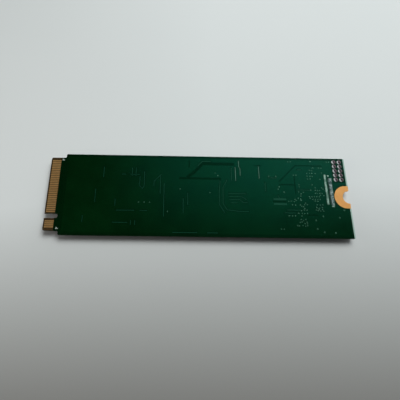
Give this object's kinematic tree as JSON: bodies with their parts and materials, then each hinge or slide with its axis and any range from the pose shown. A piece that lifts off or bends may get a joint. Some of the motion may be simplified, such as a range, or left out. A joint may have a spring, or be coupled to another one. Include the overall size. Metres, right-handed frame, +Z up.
{
  "type": "gumstick solid state drive",
  "caption": "Bare gumstick solid state drive: green single-sided card with edge contacts, key notch, half-hole screw pad and chips underneath",
  "frame": {"origin": "under the middle of the card, on the surface that its tallest chips rest on, halfway between the connector edge and the screw end", "axes": "+X along the card from the connector edge to the screw end, +Y across it away from the key notch, +Z up out of the bare face, with the chip side facing down"},
  "size_m": [0.08, 0.022, 0.002],
  "materials": {
    "laminate": "solder mask over glass epoxy, satin",
    "gold": "thin hard gold over nickel on copper, worn satin",
    "copper_pad": "bare plated copper, satin",
    "tin": "tin and solder, satin",
    "mould": "black moulding compound, matte",
    "ferrite": "pressed ferrite powder, matte",
    "capacitor_ceramic": "fired tan ceramic, satin",
    "resistor_ceramic": "ceramic with a black coat, satin",
    "fuse_ceramic": "white ceramic, satin",
    "bulk_mould": "moulded case, matte",
    "lid_metal": "plated lid, satin",
    "print_ink": "thin printed epoxy ink, matte"
  },
  "bodies": {
    "root": {"bare_side_fingers": "gold", "boot_flash_leads": "tin", "boot_flash_package": "mould", "bulk_capacitor_case": "bulk_mould", "bulk_capacitor_terminals": "tin", "card_end_plating": "copper_pad", "chip_resistor_bodies": "resistor_ceramic", "chip_resistor_terminals": "tin", "chip_side_fingers": "gold", "circuit_board": "laminate", "controller_package": "mould", "controller_solder_balls": "tin", "crystal_base": "ferrite", "crystal_lid": "lid_metal", "ferrite_bead_bodies": "ferrite", "ferrite_bead_terminals": "tin", "flash_1_package": "mould", "flash_1_solder_balls": "tin", "flash_2_package": "mould", "flash_2_solder_balls": "tin", "header_hole_platings": "tin", "inductor_cores": "ferrite", "inductor_terminals": "tin", "input_fuse_bodies": "fuse_ceramic", "input_fuse_terminals": "tin", "large_capacitor_bodies": "capacitor_ceramic", "large_capacitor_terminals": "tin", "load_switch_leads": "tin", "load_switch_package": "mould", "medium_capacitor_bodies": "capacitor_ceramic", "medium_capacitor_terminals": "tin", "memory_package": "mould", "memory_solder_balls": "tin", "power_manager_leads": "tin", "power_manager_package": "mould", "regulator_leads": "tin", "regulator_package": "mould", "small_capacitor_bodies": "capacitor_ceramic", "small_capacitor_terminals": "tin", "temperature_sensor_leads": "tin", "temperature_sensor_package": "mould"}
  },
  "joints": []
}
